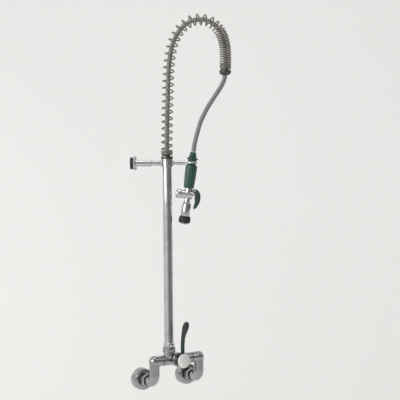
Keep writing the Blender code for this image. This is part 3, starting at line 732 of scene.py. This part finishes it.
def hook():
    height = BRACKET_Z / MM
    spray_foot = SPRAY.translation
    lean = SPRAY.to_3x3() @ Vector(Z)
    crossing = COLUMN.inverted() @ (spray_foot + lean * ((BRACKET_Z - spray_foot.z) / lean.z))
    centre = crossing.x / MM
    inner, outer, tip = 13.8, 20, centre + 12
    half, middle = (outer - inner) / 2, (outer + inner) / 2
    loop = [(tip, outer)] + arc(outer, 90, 270, 33, centre)
    loop += [(tip, -outer)] + arc(half, -90, 90, 9, tip, -middle)[1:-1] + [(tip, -inner)]
    loop += arc(inner, 270, 90, 33, centre) + [(tip, inner)]
    loop += arc(half, -90, 90, 9, tip, middle)[1:-1]
    fork = plate("fork", [loop], 5, COLUMN, (0, 0, height), edge=1.2)
    stalk = bar("stalk", 6, 19.3, centre - outer + 1.4, COLUMN, (0, 0, height), X, edge=0.6)
    done(cast("hook", [fork, stalk], 0.5, 3), "column", "chrome", "spray_hook", angle=50)


# Hose and spring

def hose():
    line = smooth(HOOP_ROUTE + DROP_ROUTE, 2.5)
    obj = swept("supply_hose", line, [HOSE_RADIUS] * len(line), COLUMN, 24)
    path = [COLUMN @ Vector((p.x * MM, 0, p.y * MM)) for p in line]
    length = sum((q - p).length for p, q in zip(path, path[1:]))
    start, end = COLUMN @ Vector((0.090, 0, 0.719)), COLUMN @ Vector((0.080, 0, 0.683))
    done(obj, "column", "hose_braid", "hose", angle=60, blend=(("column", "spray"), start, end))


def support_spring():
    """Open turns up the left leg and over the top, tight turns down the right, closed at both ends."""
    step = 0.5
    line = smooth([(0, 651.5)] + HOOP_ROUTE[1:-1] + [(170.7, 898)], step)
    total = step * (len(line) - 1)
    phase, coil, due = 0, [], 0
    for i, p in enumerate(line):
        along = (line[min(i + 1, len(line) - 1)] - line[max(i - 1, 0)]).normalized()
        if phase >= due:
            side = SPRING_RADIUS * math.cos(phase)
            coil.append((p.x - along.y * side, SPRING_RADIUS * math.sin(phase), p.y + along.x * side))
            due += math.tau / 32
        left = total - i * step
        opening = min(max(left - TIGHT_LENGTH, 0) / EASING_LENGTH, 1)
        pitch = TIGHT_PITCH + (OPEN_PITCH - TIGHT_PITCH) * opening
        if min(i * step, left) < CLOSED_LENGTH:
            pitch = CLOSED_PITCH
        phase += math.tau * step / pitch
    done(wire("hoop_spring", coil, SPRING_WIRE, COLUMN), "column", "spring_steel", "support_spring", angle=60)
    ring = turned("spring_ferrule", [
        (7.4, 880), (9.5, 880), (14, 882), (17, 888), (17, 893), (14, 894), (7.4, 894),
    ], COLUMN, (170.2, 0, 0), ring=True, edge=0.5)
    done(ring, "column", "dark_steel", "spring_end_ring")


# Hand spray

def grip():
    sleeve = turned("grip", [
        (7.4, 19), (12.5, 19), (14.6, 21), (15.6, 28), (16.1, 37), (16.4, 44), (16.9, 53), (17.1, 62),
        (17.2, 70), (17.2, 78), (16.6, 84.5), (12.4, 86), (12.4, 101.2), (16, 102), (16, 104.5),
        (14.5, 107), (10, 108), (7.4, 108),
    ], SPRAY, ring=True, edge=0.6, segments=96)
    knurled(sleeve, 12, 0.9, (15, 17.4), (27, 79), SPRAY)
    done(sleeve, "spray", "green_plastic", "grip_sleeve", angle=50)
    coupling = turned("coupling", [
        (4, 114), (7.3, 114), (7.3, 108.3), (11, 108.3), (11.4, 109.4), (9.7, 116), (8, 123), (7, 124),
        (4, 124),
    ], SPRAY, ring=True, edge=0.25)
    done(coupling, "spray", "green_plastic", "hose_coupling")


def spray_head():
    origin, back = (0, 0, 0), (-1, 0, 0)
    lug = plate("lug", [[(8, 6), (22, 6), (23.5, 9), (23.5, 14), (21, 17.5), (8, 17.5)]], 7, SPRAY, aim=FRONT,
                edge=0.5)
    body = cast("spray_casting", [
        bar("barrel", 12, -18, 14, SPRAY, origin, X), bar("neck", 11, 0, 18.5, SPRAY),
        bar("outlet", 8, 0, 22, SPRAY, origin, DOWN), lug,
    ], 0.4, 3)
    drill(body, SPRAY, (
        (origin, X, 9, -19, 4), (origin, Z, 7.4, 12.5, 20), (origin, Z, 4.5, 4, 14), (origin, DOWN, 5, 4, 23),
        (origin, X, 2.7, 2, 15), (PIN_AT, Y, PIN_HOLE, -6, 6),
    ))
    done(body, "spray", "chrome", "spray_body", angle=50)
    bonnet = turned("bonnet", [
        (8.6, 29), (8.6, 19), (13, 19), (13, 30), (12, 33), (9, 34.6), (3, 35),
    ], SPRAY, origin, back, edge=0.4)
    done(bonnet, "spray", "chrome", "spray_bonnet")
    nozzle_tube = turned("nozzle", [
        (11, 62), (11, 31), (5, 26), (5, 22.3), (9.5, 22.3), (11.5, 24.5), (13, 30), (13, 62),
    ], SPRAY, origin, DOWN, ring=True, edge=0.3)
    done(nozzle_tube, "spray", "chrome", "spray_nozzle")
    ring = turned("nozzle_ring", [
        (9.5, 62.3), (14.5, 62.3), (16.6, 66), (17, 74), (16.6, 79.5), (14, 82), (9.5, 82),
    ], SPRAY, origin, DOWN, ring=True, edge=0.5)
    done(ring, "spray", "black_rubber", "spray_ring")
    holes = [arc(1, 0, 330, 12, 5.6 * math.cos(t), 5.6 * math.sin(t)) for t in
             [math.tau * i / 8 for i in range(8)]]
    face = plate("rose", [arc(9.1, 0, 352.5, 48)] + holes, 2.4, SPRAY, (0, 0, -84.4), edge=0.2)
    done(face, "spray", "steel", "spray_plate")


def valve_spring():
    """The coil behind the valve, towards the bonnet."""
    start, length, radius, turns, steps, stroke = 4.4, 23.4, 4.6, 5, 24, 1.6
    count = turns * steps
    coil = [(-start - length * i / count, radius * math.cos(math.tau * i / steps),
             radius * math.sin(math.tau * i / steps)) for i in range(count + 1)]
    obj = done(wire("return_spring", coil, 0.6, SPRAY, 2), "spray", "steel", "valve_spring", angle=60)
    anchor = SPRAY @ Vector(((-start - length) * MM, 0, 0))
    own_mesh(obj)


def trigger():
    """A broad paddle on a pin under the grip. A slot in its top takes the body's lug."""
    side = [
        (14.5, 14), (16, 18), (20, 18.6), (24, 18), (31, 13), (35.5, 5), (37.5, -4), (37, -16), (33, -28),
        (27, -37), (22.5, -39), (20.5, -36), (21, -28), (22, -18), (20.5, -8), (19.6, 2), (15.5, 8),
    ]
    loop = [tuple(p) for p in smooth(side + side[:1], 1)[:-1]]
    paddle = plate("paddle", [loop], 18, SPRAY, aim=FRONT, edge=2.2)
    slot = plate("paddle_slot", [[(10, 2), (25.5, 2), (25.5, 20), (10, 20)]], 8.4, SPRAY, aim=FRONT, edge=0.1)
    combine(paddle, slot, "DIFFERENCE")
    combine(paddle, bar("pin_hole", PIN_HOLE, -12, 12, SPRAY, PIN_AT, Y), "DIFFERENCE")
    done(paddle, "trigger", "green_plastic", "trigger", finish="trigger_green", angle=50)
    pin = turned("paddle_pin", [
        (3, 10.4), (3, 9.3), (1.7, 9.3), (1.7, -9.3), (3, -9.3), (3, -10.4),
    ], SPRAY, PIN_AT, Y, edge=0.2, segments=32)
    done(pin, "spray", "steel", "trigger_pin")


# Surroundings

def studio():
    """A pale floor and backdrop, four soft lamps, and a sky that is brighter on the left and in front."""
    backdrop_at = (-3.2, 5, 0)
    paper_stage(backdrop_at)
    lamps(backdrop_at)
    sky()
    bpy.context.scene.view_settings.view_transform = "Standard"


def paper_stage(backdrop_at):
    paper = Finish("paper", (0.8, 0.8, 0.79), 0.9)
    paper.feed("Roughness", 0.85 + paper.noise(6) * 0.1)
    paper.shader.inputs["Emission Color"].default_value = (0.8, 0.8, 0.79, 1)
    paper.shader.inputs["Emission Strength"].default_value = 0.24
    deselect()
    bpy.ops.mesh.primitive_plane_add(size=14, location=(0, 0, -0.9))
    floor = named("floor")
    deselect()
    bpy.ops.mesh.primitive_plane_add(size=14, location=backdrop_at,
                                     rotation=(math.pi / 2, 0, math.radians(VIEW_TURN)))
    backdrop = named("backdrop")
    for obj in (floor, backdrop):
        obj.data.materials.append(paper.material)


def lamps(backdrop_at):
    """Three lamps aim at the faucet, and the paper lamp at the backdrop."""
    faucet, paper = Vector((0, 0, 0.5)), Vector((backdrop_at[0], backdrop_at[1], 0.3))
    for name, where, goal, power, size in (
        ("left_lamp", (-2.2, -0.6, 1.2), faucet, 24, 1.2), ("right_lamp", (1.9, -1.6, 2.0), faucet, 5, 0.8),
        ("top_lamp", (0, -0.5, 2.6), faucet, 8, 1), ("paper_lamp", (-2.2, 2.4, 2.4), paper, 45, 2.5),
    ):
        lamp = bpy.data.lights.new(name, "AREA")
        lamp.energy, lamp.size = power, size
        obj = bpy.data.objects.new(name, lamp)
        bpy.context.scene.collection.objects.link(obj)
        obj.location = where
        obj.rotation_euler = (goal - Vector(where)).to_track_quat("-Z", "Y").to_euler()


def sky():
    world = bpy.data.worlds.new("studio")
    bpy.context.scene.world = world
    world.use_nodes = True
    tree = world.node_tree
    background = tree.nodes["Background"]
    background.inputs["Color"].default_value = (0.82, 0.82, 0.81, 1)
    maker = Value(tree, None)
    direction = maker.node("ShaderNodeTexCoord", out="Generated")
    rightwards = maker.node("ShaderNodeVectorMath", direction, (0.84, -0.54, 0), operation="DOT_PRODUCT",
                            out=1)
    nearness = maker.node("ShaderNodeVectorMath", direction, (-0.54, -0.84, 0), operation="DOT_PRODUCT",
                          out=1)
    side = maker.node("ShaderNodeMapRange", rightwards, -0.45, 0.3, 1, 0.3)
    front = maker.node("ShaderNodeMapRange", nearness, -0.4, 0.1, 0.95, 0)
    light = maker.maths("MAXIMUM", side, front)
    tree.links.new(light.socket, background.inputs["Strength"])


def restyle_inner_pieces():
    """Pieces that stay as they were built take the same finishes as the new ones."""
    for piece in frame["record"]["subparts"]:
        for slot in frame["nodes"][piece["node"]].material_slots:
            slot.material = FINISHES[piece["material_slot"]].material


camera()
restyle_inner_pieces()
hose()
inlet("left", -1)
inlet("right", 1)
mixer()
riser()
bracket()
hook()
support_spring()
grip()
spray_head()
valve_spring()
trigger()
studio()
